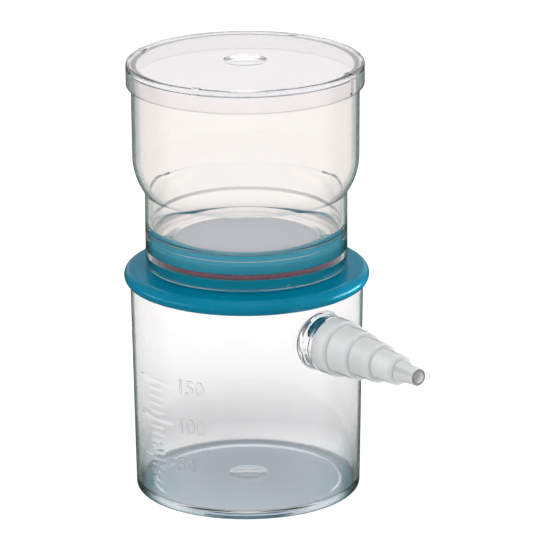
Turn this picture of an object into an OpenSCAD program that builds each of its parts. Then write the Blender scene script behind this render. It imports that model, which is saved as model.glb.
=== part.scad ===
// Disposable vacuum filtration unit.
// A clear upper chamber with a loose lid seals with an O-ring on the plug of a
// teal base collar, which closes the mouth of a clear graduated receiver jar.
// A stepped hose adapter plugs into the boss on the jar's side.
// Millimetres; the origin is the centre of the jar's foot, +Z up, +X along the hose adapter.

/* [Receiver jar] */
// Height of the jar from its foot to its rim
jar_h = 71.2; // [66:0.1:100]
// Outside diameter of the jar at its rim
jar_rim_d = 74.3; // [73.4:0.1:80]
// Outside diameter of the jar at its foot
jar_foot_d = 71.8; // [66:0.1:72.6]
// Thickness of the jar's wall
jar_wall = 1.6; // [1.2:0.1:2]
// Thickness of the jar's floor
jar_floor = 1.7; // [1.4:0.1:2.6]
// Gap under the floor, inside the foot ring
foot_lift = 1; // [0.5:0.1:2]
// Rise of the floor from its edge to its centre
floor_rise = 1; // [0.2:0.1:1.6]
// Width of the foot ring
foot_ring = 4.2; // [2:0.1:8]
// Rounding of the jar's outer bottom edge
foot_round = 1.4; // [0.5:0.1:1.8]
// Rounding where the jar's wall meets its floor
floor_fillet = 0.9; // [0.3:0.1:2]
// Rounding of the rims of the jar, the chamber and the lid
rim_round = 0.4; // [0.1:0.05:0.5]

/* [Gate dimples] */
// Diameter of the round dimple in the jar's floor
floor_dimple_d = 12.6; // [8:0.1:18]
// Diameter of the round dimple in the lid
lid_dimple_d = 14.4; // [8:0.1:18]
// Depth of the dimples
dimple_depth = 0.9; // [0.3:0.1:1]

/* [Graduations] */
// First marked volume in millilitres
mark_first = 20; // [10:10:40]
// Last marked volume in millilitres
mark_last = 150; // [100:50:150]
// Volume between two marks in millilitres
mark_step = 10; // [10:10:50]
// Volume between two long marks in millilitres
mark_major = 50; // [50:50:100]
// Arc length of a short mark
mark_short = 7; // [4:0.5:10]
// Arc length of a long mark
mark_long = 17; // [10:0.5:24]
// Height of a mark's ridge on the wall
mark_w = 0.7; // [0.4:0.1:1.2]
// Height of the flat crown of a mark's ridge
mark_crown = 0.3; // [0.1:0.05:0.35]
// How far a mark stands proud
mark_proud = 0.3; // [0.1:0.05:0.5]
// Direction of the middle of the short marks, in degrees from the port
mark_angle = -91; // [-160:1:-40]
// Share of a long mark that lies left of that middle
mark_share = 0.55; // [0:0.05:1]

/* [Side port] */
// How far the port's axis lies below the jar's rim
port_drop = 13.8; // [13.6:0.1:18]
// Outside diameter of the boss on the jar's side
boss_d = 18.2; // [16:0.1:18.6]
// Length of the boss from the jar's wall to its mouth
boss_len = 5.7; // [5.1:0.1:12]
// Diameter of the socket in the boss
socket_d = 13.5; // [12:0.1:14]
// Depth of the socket
socket_depth = 4.6; // [4.3:0.1:5]
// Diameter of the air hole through the jar's wall
air_hole_d = 6; // [4:0.1:8]

/* [Hose adapter] */
// Radial clearance of the adapter's stem in the socket
stem_clear = 0.05; // [0.02:0.01:0.1]
// Gap between the stem's end and the socket's floor
stem_gap = 0.4; // [0.1:0.1:1]
// Diameter of the adapter's rim
rim_d = 18; // [17.4:0.1:22]
// Thickness of the adapter's rim
rim_t = 6.2; // [3:0.1:8]
// Diameter of the first hose step
step1_d = 15.5; // [14.5:0.1:17]
// Diameter of the second hose step
step2_d = 12.6; // [11:0.1:14]
// Diameter of the third hose step
step3_d = 9.6; // [8.4:0.1:10.6]
// Diameter of the nozzle at its root
nozzle_d = 6.4; // [5.8:0.1:7.6]
// Diameter of the nozzle at its tip
tip_d = 5.3; // [4.8:0.1:5.6]
// Length of each step
step_len = 8.8; // [6:0.1:14]
// Chamfer on each step's front edge
step_chamfer = 0.6; // [0.2:0.1:0.8]
// Diameter of the narrow bore in the nozzle
nozzle_bore_d = 3.2; // [2:0.1:3.6]
// Diameter of the wide bore in the stem and the first two steps
wide_bore_d = 9; // [6:0.1:9.2]
// Distance from the end of the wide bore to the third step
wide_bore_stop = 1.5; // [0.5:0.1:4]
// Length of the cone between the two bores
bore_cone = 2.3; // [1:0.1:4]
// Length of the fibre plug in the wide bore
vent_len = 10; // [6:0.1:16]
// How far the fibre plug sits in from the stem's end
vent_inset = 1; // [0:0.1:3]
// Radial gap round the fibre plug
vent_gap = 0.05; // [0:0.05:0.2]

/* [Base collar] */
// Thickness of the collar's outer lip
lip_t = 1.6; // [1.2:0.1:4]
// How deep the jar's rim goes into the collar
jar_insert = 3; // [2:0.1:4]
// Radial clearance between the jar and the collar
jar_clear = 0.3; // [0.15:0.05:0.5]
// Thickness of the sealing ring on the jar's rim
jar_seal_t = 0.8; // [0.5:0.1:1.5]
// Thickness of the collar's plate
plate_t = 1.5; // [1.2:0.1:3]
// Thickness of the collar's inner skirt
skirt_t = 1.4; // [1:0.1:2]
// Height of the plug above the plate
plug_h = 9.1; // [8.6:0.1:14]
// Radial clearance between the plug and the chamber's neck
plug_clear = 0.3; // [0.2:0.05:0.5]
// Thickness of the plug's wall behind the O-ring groove
plug_wall = 1.4; // [1:0.1:2.2]
// Thickness of the plug's top
plug_top_t = 1.6; // [1.2:0.1:2.5]
// Outside diameter of the drain spout
drain_d = 8.4; // [7:0.1:12]
// Bore of the drain spout
drain_bore_d = 5.2; // [4.2:0.1:6]
// How far the spout hangs below the collar
drain_drop = 7.6; // [4:0.1:10]

/* [Chamber seal] */
// Diameter of the O-ring's cord
cord_d = 1.8; // [1.5:0.1:2.4]
// Height of the O-ring's centre above the plate
cord_lift = 5.3; // [4.8:0.1:6.2]
// Clearance of the O-ring in the chamber and in its groove
cord_clear = 0.05; // [0.02:0.01:0.1]
// Play of the O-ring up and down in its groove
cord_play = 0.1; // [0.05:0.05:0.3]

/* [Membrane] */
// Diameter of the membrane disc
membrane_d = 47; // [44:0.1:49]
// Thickness of the membrane disc
membrane_t = 0.3; // [0.2:0.05:0.5]
// Radial clearance round the membrane and its support
membrane_clear = 0.3; // [0.1:0.05:0.6]
// Thickness of the support plate under the membrane
support_t = 1.4; // [1:0.1:1.6]
// Width of the seat under the support plate's edge
support_seat = 1.6; // [1:0.1:3]
// Number of rings of holes in the support plate
hole_rings = 3; // [2:1:4]
// Diameter of a hole in the support plate
hole_d = 2.4; // [1.4:0.1:2.6]
// Distance from the outer holes' centres to the support plate's edge
hole_margin = 3; // [3:0.1:5]
// Depth of the collecting dish under the support plate
dish_depth = 1.2; // [0.8:0.1:2]
// Number of ribs in the dish that carry the support plate
rib_count = 8; // [3:1:12]
// Width of a rib in the dish
rib_w = 1; // [0.6:0.1:1.6]

/* [Upper chamber] */
// Inside diameter of the neck
neck_bore_d = 60.8; // [60:0.1:62]
// Thickness of the neck's wall
neck_wall = 1.7; // [1.2:0.1:2.2]
// Gap between the neck's lower edge and the collar
neck_gap = 1; // [0.3:0.1:1.6]
// Height of the neck from its lower edge to the shoulder
neck_h = 24.1; // [20:0.1:34]
// How far the ledge overlaps the membrane's edge
ledge_grip = 0.6; // [0.4:0.1:3]
// Height of the ledge at its bore
ledge_lip = 0.7; // [0.4:0.1:1.5]
// Height at which the ledge's slope would meet the wall
ledge_h = 0.9; // [0.8:0.1:5.4]
// Radius of the fillet between the ledge and the wall
ledge_fillet = 6; // [1:0.1:6.2]
// Step from the neck out to the chamber's wall
shoulder_step = 3.8; // [3:0.1:6]
// Radius of the shoulder
shoulder_r = 20; // [12:0.1:22]
// Height of the straight wall above the shoulder
body_h = 28.2; // [20:0.1:60]
// Widening of the chamber from its shoulder to its rim
chamber_flare = 0.3; // [0:0.1:1]
// Thickness of the chamber's wall
chamber_wall = 1.7; // [1.2:0.1:2.4]

/* [Lid] */
// Radial clearance between the lid's skirt and the chamber
lid_clear = 0.3; // [0.2:0.05:0.5]
// Thickness of the lid's plate
lid_t = 1.8; // [1.3:0.1:2.5]
// Thickness of the lid's skirt
lid_wall = 1.25; // [1:0.05:2]
// Depth of the skirt below the lid's plate
lid_skirt = 5.6; // [4:0.1:9]
// Rounding of the lid's top edge
lid_round = 0.9; // [0.3:0.1:1]
// Height of the vent pads that hold the lid off the rim
vent_pad = 0.4; // [0.2:0.1:0.8]
// Width of a vent pad and of the rib below it
vent_w = 2.4; // [1:0.1:4]
// Number of vent pads
vent_count = 4; // [3:1:6]
// Direction of the first vent pad, in degrees from the port
vent_angle = 26; // [0:1:90]
// How far a rib stands in from the skirt
vent_proud = 0.15; // [0.05:0.05:0.15]

/* [Hidden] */
$fn = 96;
eps = 0.01;                 // overlap that makes a cut run clear of a face
sink = 0.15;                // how far a ridge reaches into the wall that carries it
port_tilt = [0, 90, 0];     // turns +Z to the port's axis, +X

// Jar
jar_rim_r = jar_rim_d / 2;
jar_foot_r = jar_foot_d / 2;
jar_taper = (jar_rim_r - jar_foot_r) / jar_h;
floor_edge_z = foot_lift + jar_floor;
floor_top_z = floor_edge_z + floor_rise;

// Outside radius of the jar at a height.
function jar_r(z) = jar_foot_r + jar_taper * z;

// Port, and the adapter along +X
port_z = jar_h - port_drop;
boss_x = jar_r(port_z) + boss_len;
socket_x = boss_x - socket_depth;
stem_x = socket_x + stem_gap;
stem_r = socket_d / 2 - stem_clear;
step1_x = boss_x + rim_t;
step2_x = step1_x + step_len;
step3_x = step2_x + step_len;
nozzle_x = step3_x + step_len;
tip_x = nozzle_x + step_len;
wide_bore_x = step3_x - wide_bore_stop;

// Collar, from the jar up
seat_z = jar_h + jar_seal_t;
collar_bottom_z = jar_h - jar_insert;
plate_z = seat_z + plate_t;
edge_r = (plate_z - collar_bottom_z) / 2;
groove_outer_r = jar_rim_r + jar_clear;
collar_r = groove_outer_r + lip_t;
skirt_outer_r = jar_r(collar_bottom_z) - jar_wall - jar_clear;
skirt_inner_r = skirt_outer_r - skirt_t;
plug_top_z = plate_z + plug_h;
drain_z = collar_bottom_z - drain_drop;
drain_r = drain_d / 2;

// Plug and its O-ring
neck_bore_r = neck_bore_d / 2;
plug_r = neck_bore_r - plug_clear;
cord_r = cord_d / 2;
cord_centre_r = neck_bore_r - cord_clear - cord_r;
cord_z = plate_z + cord_lift;
groove_floor_r = cord_centre_r - cord_r - cord_clear;
groove_h = cord_d + 2 * cord_play;
plug_inner_r = groove_floor_r - plug_wall;

// Membrane and its support, let into the plug's top
support_r = membrane_d / 2;
well_r = support_r + membrane_clear;
membrane_z = plug_top_z - membrane_t;
support_z = membrane_z - support_t;
hole_pitch = (support_r - hole_margin) / hole_rings;
dish_r = well_r - support_seat;
dish_z = support_z - dish_depth;
plug_under_z = dish_z - plug_top_t;

// Upper chamber
neck_z = plate_z + neck_gap;
neck_outer_r = neck_bore_r + neck_wall;
chamber_r = neck_outer_r + shoulder_step;
shoulder_x = chamber_r - shoulder_r;
shoulder_rise = sqrt(shoulder_step * (2 * shoulder_r - shoulder_step));
shoulder_z = neck_z + neck_h + shoulder_rise;
inner_step = shoulder_step + neck_wall - chamber_wall;
shoulder_inner_r = (pow(inner_step, 2) + pow(shoulder_rise, 2)) / (2 * inner_step);
shoulder_inner_x = chamber_r - chamber_wall - shoulder_inner_r;
shoulder_turn = asin(shoulder_rise / shoulder_r);
shoulder_inner_turn = asin(shoulder_rise / shoulder_inner_r);
ledge_bore_r = support_r - ledge_grip;
ledge_slope = atan((ledge_h - ledge_lip) / (neck_bore_r - ledge_bore_r));
fillet_z = plug_top_z + ledge_h + ledge_fillet * (1 - sin(ledge_slope)) / cos(ledge_slope);
chamber_rim_z = shoulder_z + body_h;
chamber_rim_r = chamber_r + chamber_flare / 2;
chamber_mouth_r = chamber_rim_r - chamber_wall;

// Lid
lid_under_z = chamber_rim_z + vent_pad;
lid_top_z = lid_under_z + lid_t;
lid_skirt_z = lid_under_z - lid_skirt;
lid_inner_r = chamber_rim_r + lid_clear;
lid_r = lid_inner_r + lid_wall;

// Points of an arc about [cx, cy], from angle a to angle b.
function arc(cx, cy, r, a, b, n = 10) =
    [for (i = [0:n]) let (t = a + (b - a) * i / n) [cx + r * cos(t), cy + r * sin(t)]];

// Height of the liquid that a volume in millilitres reaches: the jar is a
// widening cone, and the raised floor displaces a flat cone of liquid.
function fill_z(ml) =
    let (r0 = jar_r(floor_edge_z) - jar_wall,
         v = ml * 1000 + PI * pow(r0, 2) * floor_rise / 3)
    floor_edge_z + (pow(pow(r0, 3) + 3 * jar_taper * v / PI, 1 / 3) - r0) / jar_taper;

// Whether a volume carries a long mark.
function is_major(ml) = ml % mark_major == 0;

// ---- Receiver jar ----

// The jar's outer form, as if it were solid.
module jar_block() {
    rotate_extrude()
        polygon(concat(
            [[0, 0]],
            arc(jar_foot_r - foot_round, foot_round, foot_round, -90, 0, 8),
            arc(jar_rim_r - rim_round, jar_h - rim_round, rim_round, 0, 90, 6),
            [[0, jar_h]]));
}

// What the jar holds, with the domed floor and the rounded rim.
module jar_cavity() {
    floor_r = jar_r(floor_edge_z) - jar_wall;
    mouth_r = jar_rim_r - jar_wall;
    rotate_extrude()
        polygon(concat(
            [[0, floor_top_z]],
            arc(floor_r - floor_fillet, floor_edge_z + floor_fillet, floor_fillet, -90, 0, 6),
            [[mouth_r, jar_h - rim_round], [mouth_r + rim_round, jar_h + eps], [0, jar_h + eps]]));
}

// The hollow under the floor, which leaves the foot ring.
module foot_recess() {
    recess_r = jar_foot_r - foot_round - foot_ring;
    rotate_extrude()
        polygon([[0, -eps], [recess_r, -eps], [recess_r - foot_lift, foot_lift],
                 [0, foot_lift + floor_rise]]);
}

// A shallow spherical dimple of diameter d, cut down from height z.
module dimple(d, z) {
    r = (pow(d / 2, 2) + pow(dimple_depth, 2)) / (2 * dimple_depth);
    translate([0, 0, z - dimple_depth + r]) sphere(r, $fn = 160);
}

// One raised graduation mark.
module mark(ml) {
    z = fill_z(ml);
    r = jar_r(z);
    turn = (is_major(ml) ? mark_long : mark_short) / r * 180 / PI;
    rotate(mark_angle - turn * (is_major(ml) ? mark_share : 1 / 2))
        rotate_extrude(angle = turn)
            polygon([[r - sink, z - mark_w / 2], [r + mark_proud, z - mark_crown / 2],
                     [r + mark_proud, z + mark_crown / 2], [r - sink, z + mark_w / 2]]);
}

module receiver_jar() {
    color([0.88, 0.91, 0.91, 0.35])
    difference() {
        union() {
            jar_block();
            translate([0, 0, port_z]) rotate(port_tilt) cylinder(d = boss_d, h = boss_x);
            for (ml = [mark_first:mark_step:mark_last]) mark(ml);
        }
        jar_cavity();
        foot_recess();
        dimple(floor_dimple_d, floor_top_z);
        translate([socket_x, 0, port_z]) rotate(port_tilt)
            cylinder(d = socket_d, h = socket_depth + eps);
        translate([0, 0, port_z]) rotate(port_tilt) cylinder(d = air_hole_d, h = boss_x);
    }
}

module jar_seal() {
    color("ghostwhite")
    translate([0, 0, jar_h]) difference() {
        cylinder(r = jar_rim_r, h = jar_seal_t);
        translate([0, 0, -eps]) cylinder(r = jar_rim_r - jar_wall, h = jar_seal_t + 2 * eps);
    }
}

// ---- Base collar ----

// Half section of the collar and its plug; the outer edge is a full round.
module collar_section() {
    difference() {
        union() {
            translate([collar_r - edge_r, collar_bottom_z + edge_r]) circle(edge_r);
            translate([0, seat_z]) square([collar_r - edge_r, plate_t]);
            translate([skirt_inner_r, collar_bottom_z]) square([skirt_t, plate_z - collar_bottom_z]);
            translate([0, plate_z - eps]) square([plug_r, plug_h + eps]);
            translate([0, drain_z]) square([drain_r, plug_top_z - drain_z]);
        }
        // groove for the jar's rim
        translate([skirt_outer_r, collar_bottom_z - eps])
            square([groove_outer_r - skirt_outer_r, seat_z - collar_bottom_z + eps]);
        // underside of the plug
        translate([drain_r, drain_z]) square([plug_inner_r - drain_r, plug_under_z - drain_z]);
        // groove for the O-ring
        translate([groove_floor_r, cord_z - groove_h / 2]) square([plug_r, groove_h]);
        // well for the membrane and its support, and the dish below them
        translate([0, support_z]) square([well_r, plug_h]);
        translate([0, dish_z]) square([dish_r, plug_h]);
        // drain
        translate([0, drain_z - eps]) square([drain_bore_d / 2, plug_top_z - drain_z]);
    }
}

module base_collar() {
    color([0.02, 0.45, 0.56])
    union() {
        rotate_extrude() collar_section();
        for (i = [0:rib_count - 1]) rotate(i * 360 / rib_count)
            translate([drain_r, -rib_w / 2, dish_z - eps])
                cube([dish_r - drain_r + eps, rib_w, dish_depth + eps]);
    }
}

module membrane_support() {
    color("white")
    translate([0, 0, support_z]) difference() {
        cylinder(r = support_r, h = support_t);
        translate([0, 0, -eps]) cylinder(d = hole_d, h = support_t + 2 * eps);
        for (ring = [1:hole_rings], i = [1:6 * ring])
            rotate(i * 60 / ring) translate([ring * hole_pitch, 0, -eps])
                cylinder(d = hole_d, h = support_t + 2 * eps);
    }
}

module membrane() {
    color([0.82, 0.84, 0.85])
    translate([0, 0, membrane_z]) cylinder(d = membrane_d, h = membrane_t);
}

module chamber_seal() {
    color([0.72, 0.1, 0.16])
    translate([0, 0, cord_z]) rotate_extrude() translate([cord_centre_r, 0]) circle(cord_r);
}

// ---- Upper chamber ----

module upper_chamber() {
    color([0.92, 0.92, 0.91, 0.35])
    rotate_extrude()
        polygon(concat(
            // outside, from the neck's lower edge up to the rim
            [[neck_bore_r + rim_round, neck_z], [neck_outer_r - rim_round, neck_z],
             [neck_outer_r, neck_z + rim_round]],
            arc(shoulder_x, shoulder_z, shoulder_r, -shoulder_turn, 0, 12),
            arc(chamber_rim_r - rim_round, chamber_rim_z - rim_round, rim_round, 0, 90, 6),
            // inside, back down to the neck
            [[chamber_mouth_r + rim_round, chamber_rim_z],
             [chamber_mouth_r, chamber_rim_z - rim_round]],
            arc(shoulder_inner_x, shoulder_z, shoulder_inner_r, 0, -shoulder_inner_turn, 12),
            // the fillet and the ledge with its flat underside, and the socket below it
            arc(neck_bore_r - ledge_fillet, fillet_z, ledge_fillet, 0, ledge_slope - 90, 8),
            [[ledge_bore_r, plug_top_z + ledge_lip], [ledge_bore_r, plug_top_z],
             [neck_bore_r, plug_top_z], [neck_bore_r, neck_z + rim_round]]));
}

// ---- Lid ----

module lid() {
    color([0.94, 0.93, 0.95, 0.35])
    difference() {
        union() {
            rotate_extrude()
                polygon(concat(
                    [[0, lid_under_z], [lid_inner_r, lid_under_z], [lid_inner_r, lid_skirt_z]],
                    [[lid_r - rim_round, lid_skirt_z], [lid_r, lid_skirt_z + rim_round]],
                    arc(lid_r - lid_round, lid_top_z - lid_round, lid_round, 0, 90, 8),
                    [[0, lid_top_z]]));
            for (i = [0:vent_count - 1]) rotate(vent_angle + i * 360 / vent_count) {
                // pad on the chamber's rim
                translate([chamber_mouth_r, -vent_w / 2, chamber_rim_z])
                    cube([lid_inner_r + sink - chamber_mouth_r, vent_w, vent_pad + sink]);
                // locating rib down the skirt
                translate([lid_inner_r - vent_proud, -vent_w / 2, lid_skirt_z + rim_round])
                    cube([vent_proud + lid_wall / 2, vent_w, lid_skirt]);
            }
        }
        dimple(lid_dimple_d, lid_top_z);
    }
}

// ---- Hose adapter ----

module hose_adapter() {
    c = step_chamfer;
    color([0.9, 0.91, 0.91])
    translate([0, 0, port_z]) rotate(port_tilt) rotate_extrude()
        polygon([
            [wide_bore_d / 2, stem_x], [stem_r - c / 2, stem_x], [stem_r, stem_x + c / 2],
            [stem_r, boss_x], [rim_d / 2, boss_x],
            [rim_d / 2, step1_x - c], [rim_d / 2 - c, step1_x],
            [step1_d / 2, step1_x], [step1_d / 2, step2_x - c], [step1_d / 2 - c, step2_x],
            [step2_d / 2, step2_x], [step2_d / 2, step3_x - c], [step2_d / 2 - c, step3_x],
            [step3_d / 2, step3_x], [step3_d / 2, nozzle_x - c], [step3_d / 2 - c, nozzle_x],
            [nozzle_d / 2, nozzle_x], [tip_d / 2, tip_x - c / 2], [tip_d / 2 - c / 2, tip_x],
            [nozzle_bore_d / 2, tip_x], [nozzle_bore_d / 2, wide_bore_x + bore_cone],
            [wide_bore_d / 2, wide_bore_x]]);
}

module vent_plug() {
    color("ivory")
    translate([stem_x + vent_inset, 0, port_z]) rotate(port_tilt)
        cylinder(d = wide_bore_d - 2 * vent_gap, h = vent_len);
}

receiver_jar();
jar_seal();
base_collar();
membrane_support();
membrane();
chamber_seal();
upper_chamber();
lid();
hose_adapter();
vent_plug();
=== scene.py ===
"""Vacuum filtration unit: a lidded clear chamber on a teal collar, over a clear graduated jar.

Laid out as an add-on and run as a script. Lengths are in metres; the origin is the centre of the
jar's foot, +Z up, +X along the hose adapter.
"""

import math
import bmesh
import bpy
from bpy.props import FloatProperty, FloatVectorProperty, IntProperty, PointerProperty
from mathutils import Matrix, Vector


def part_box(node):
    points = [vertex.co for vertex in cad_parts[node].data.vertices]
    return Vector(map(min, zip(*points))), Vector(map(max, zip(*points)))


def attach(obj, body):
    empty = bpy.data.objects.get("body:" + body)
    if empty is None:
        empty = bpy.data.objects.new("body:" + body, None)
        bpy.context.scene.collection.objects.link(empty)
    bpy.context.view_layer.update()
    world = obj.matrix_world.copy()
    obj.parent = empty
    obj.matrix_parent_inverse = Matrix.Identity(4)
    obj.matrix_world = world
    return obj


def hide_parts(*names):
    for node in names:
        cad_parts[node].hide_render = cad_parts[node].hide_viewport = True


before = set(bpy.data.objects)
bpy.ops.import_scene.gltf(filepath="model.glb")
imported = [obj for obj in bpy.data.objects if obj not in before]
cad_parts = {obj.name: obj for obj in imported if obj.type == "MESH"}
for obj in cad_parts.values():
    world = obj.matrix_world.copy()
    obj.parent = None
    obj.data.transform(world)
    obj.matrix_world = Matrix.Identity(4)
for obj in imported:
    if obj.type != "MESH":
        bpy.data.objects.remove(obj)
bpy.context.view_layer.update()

bl_info = {
    "name": "Vacuum filtration unit",
    "version": (1, 0, 0),
    "blender": (4, 5, 0),
    "location": "3D View > Sidebar > Filtration",
    "description": "Builds a disposable vacuum filtration unit round its packed solids",
    "category": "Object",
}

MM = 0.001
MILLILITRE = 1e-6  # in cubic metres
TURN = 2 * math.pi
WETTING = 0.02 * MM  # the ledge's reach into what it is pressed on, so that no air shows between
AIR = 0.05 * MM  # the gap between clear plastic and what merely stands against it
WHITE = (1.0, 1.0, 1.0)
DIGIT_TO_FONT = 1.42  # a font's size over the height of its digits
FINE = 384  # columns round a piece that has fine details on its wall
POLYSTYRENE = 1.57  # refractive index
MIDDLE = (0.3, 0.7)  # the range that a noise mostly keeps to


def metres(name, description, default):
    """A length that a user can change."""
    return FloatProperty(
        name=name, description=description, default=default,
        min=0.0, precision=5, unit="LENGTH",
    )


def size(name, description, millimetres):
    """A length that a user can change, given in millimetres and kept in metres."""
    return metres(name, description, millimetres * MM)


def degrees(name, description, angle):
    """An angle that a user can change, given in degrees."""
    return FloatProperty(
        name=name, description=description, default=math.radians(angle), subtype="ANGLE",
    )


def amount(name, description, default):
    """A plain number that a user can change."""
    return FloatProperty(name=name, description=description, default=default, min=0.0)


def whole(name, description, default):
    """A whole number that a user can change."""
    return IntProperty(name=name, description=description, default=default, min=0)


def colour(name, description, default):
    """A colour that a user can change."""
    return FloatVectorProperty(
        name=name, description=description, default=default,
        size=3, min=0.0, max=1.0, subtype="COLOR",
    )


def reach(node, corner, axis):
    """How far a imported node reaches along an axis; corner 0 is its lowest and 1 its highest."""
    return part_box(node)[corner][axis]


class JarSizes(bpy.types.PropertyGroup):
    height: metres("Height", "Height of the jar from foot to rim", reach("receiver_jar", 1, 2))
    rim_radius: metres("Rim radius", "Outside radius at the rim", reach("jar_seal", 1, 1))
    foot_radius: size("Foot radius", "Outside radius at the foot", 35.9)
    wall: size("Wall", "Thickness of the wall", 1.6)
    floor: size("Floor", "Thickness of the floor", 1.7)
    foot_lift: size("Foot lift", "Gap under the floor, inside the foot ring", 1.0)
    floor_rise: size("Floor rise", "Rise of the floor to its centre", 1.0)
    foot_ring: size("Foot ring", "Width of the foot ring", 4.2)
    foot_round: size("Foot rounding", "Rounding of the outer bottom edge", 1.4)
    floor_fillet: size("Floor fillet", "Rounding between wall and floor", 0.9)
    rim_round: size("Rim rounding", "Rounding of the rim", 0.4)
    dimple_radius: size("Dimple radius", "Radius of the gate dimple in the floor", 6.3)
    dimple_depth: size("Dimple depth", "Depth of the gate dimple", 0.9)


class MarkSizes(bpy.types.PropertyGroup):
    first: whole("First", "First marked volume in millilitres", 20)
    last: whole("Last", "Last marked volume in millilitres", 150)
    step: whole("Step", "Volume between two marks", 10)
    major: whole("Numbered", "Volume between two numbered marks", 50)
    short: size("Short mark", "Arc length of a short mark", 7.0)
    long: size("Long mark", "Arc length of a long mark", 17.0)
    long_share: amount("Left share", "Share of a long mark left of the short marks' middle", 0.55)
    width: size("Ridge height", "Height of a mark's ridge on the wall", 0.7)
    crown: size("Crown", "Height of the flat crown of a ridge", 0.15)
    proud: size("Proud", "How far a mark stands out", 0.2)
    angle: degrees("Direction", "Direction of the middle of the short marks", -91)
    digit: size("Digit height", "Height of a number's digits", 4.8)
    digit_gap: size("Digit gap", "Gap between a long mark and its number", 1.6)


class PortSizes(bpy.types.PropertyGroup):
    axis_height: metres(
        "Axis height", "Height of the port's axis",
        (reach("hose_adapter", 0, 2) + reach("hose_adapter", 1, 2)) / 2,
    )
    mouth: metres("Mouth", "Distance from the jar's axis to the boss's mouth",
                  reach("receiver_jar", 1, 0))
    boss_radius: size("Boss radius", "Outside radius of the boss", 9.1)
    fillet: size("Boss fillet", "Fillet between the boss and the wall", 0.9)
    socket_radius: size("Socket radius", "Radius of the socket", 6.75)
    socket_depth: size("Socket depth", "Depth of the socket", 4.6)
    hole_radius: size("Hole radius", "Radius of the air hole through the wall", 3.0)


class AdapterSizes(bpy.types.PropertyGroup):
    stem_radius: size("Stem radius", "Radius of the stem", 6.7)
    stem_gap: size("Stem gap", "Gap between the stem's end and the socket's floor", 0.4)
    rim_radius: metres(
        "Rim radius", "Radius of the rim",
        (reach("hose_adapter", 1, 2) - reach("hose_adapter", 0, 2)) / 2,
    )
    rim: size("Rim thickness", "Thickness of the rim", 6.2)
    step1_radius: size("First step", "Radius of the first hose step", 7.75)
    step2_radius: size("Second step", "Radius of the second hose step", 6.3)
    step3_radius: size("Third step", "Radius of the third hose step", 4.8)
    nozzle_radius: size("Nozzle root", "Radius of the nozzle at its root", 3.2)
    tip_radius: size("Nozzle tip", "Radius of the nozzle at its tip", 2.65)
    step: size("Step length", "Length of each step", 8.8)
    chamfer: size("Step edge", "Size of each step's softened front edge", 0.6)
    narrow_bore: size("Narrow bore", "Radius of the bore in the nozzle", 1.6)
    wide_bore: size("Wide bore", "Radius of the bore in the stem", 4.5)
    wide_stop: size("Bore stop", "Distance from the wide bore's end to the third step", 1.5)
    bore_cone: size("Bore cone", "Length of the cone between the two bores", 2.3)


class CollarSizes(bpy.types.PropertyGroup):
    radius: metres("Radius", "Outside radius of the collar", reach("base_collar", 1, 1))
    plate: size("Plate", "Thickness of the plate", 1.5)
    insert: size("Insert", "How deep the jar's rim goes in", 3.0)
    jar_clear: size("Jar clearance", "Radial clearance round the jar's rim", 0.3)
    skirt: size("Skirt", "Thickness of the inner skirt", 1.4)
    plug_radius: size("Plug radius", "Radius of the plug", 30.1)
    ring_clear: size("Groove clearance", "Gap between the O-ring and its groove's floor", 0.05)
    ring_play: size("Groove play", "Gap above and below the O-ring in its groove", 0.1)
    plug_wall: size("Plug wall", "Thickness of the plug's wall behind the groove", 1.4)
    plug_top: size("Plug top", "Thickness of the plug's top", 1.6)
    dish_depth: size("Dish depth", "Depth of the dish under the support plate", 1.2)
    dish_seat: size("Dish seat", "Width of the seat under the support plate's edge", 1.6)
    well_clear: size("Well clearance", "Radial clearance round the membrane", 0.3)
    spout_radius: size("Spout radius", "Outside radius of the drain spout", 4.2)
    spout_bore: size("Spout bore", "Radius of the drain's bore", 2.6)
    ribs: whole("Ribs", "Ribs in the dish", 8)
    rib_width: size("Rib width", "Width of a rib in the dish", 1.0)


class ChamberSizes(bpy.types.PropertyGroup):
    neck_bore: size("Neck bore", "Inside radius of the neck", 30.4)
    neck_wall: size("Neck wall", "Thickness of the neck's wall", 1.7)
    neck_height: size("Neck height", "Height from the neck's edge to the shoulder", 24.1)
    ledge_grip: size("Ledge grip", "Overlap of the ledge on the membrane", 0.6)
    ledge_lip: size("Ledge lip", "Height of the ledge at its bore", 0.25)
    ledge_height: size("Ledge height", "Height where the ledge's slope meets the wall", 0.9)
    ledge_fillet: size("Ledge fillet", "Fillet between the ledge and the wall", 6.0)
    shoulder_step: size("Shoulder step", "Step from the neck to the chamber's wall", 3.8)
    shoulder_radius: size("Shoulder radius", "Radius of the shoulder", 20.0)
    flare: size("Flare", "Widening of the chamber's diameter up to its rim", 0.3)
    wall: size("Wall", "Thickness of the chamber's wall", 1.7)
    crease_lift: size("Crease lift", "How much higher the crease lies inside than outside", 0.15)
    bead: size("Bead", "Height of the soft bead over the fillet", 0.7)
    rim_round: size("Rim rounding", "Rounding of the rims", 0.4)
    pressed: degrees("Pressed side", "Direction in which the ledge is pressed home on the plug", -38.7)
    side_contact: degrees("Side contact", "How far to either side the neck touches the plug", 100)
    ledge_contact: degrees("Ledge contact", "How far to either side the ledge touches the plug", 86)


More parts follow.
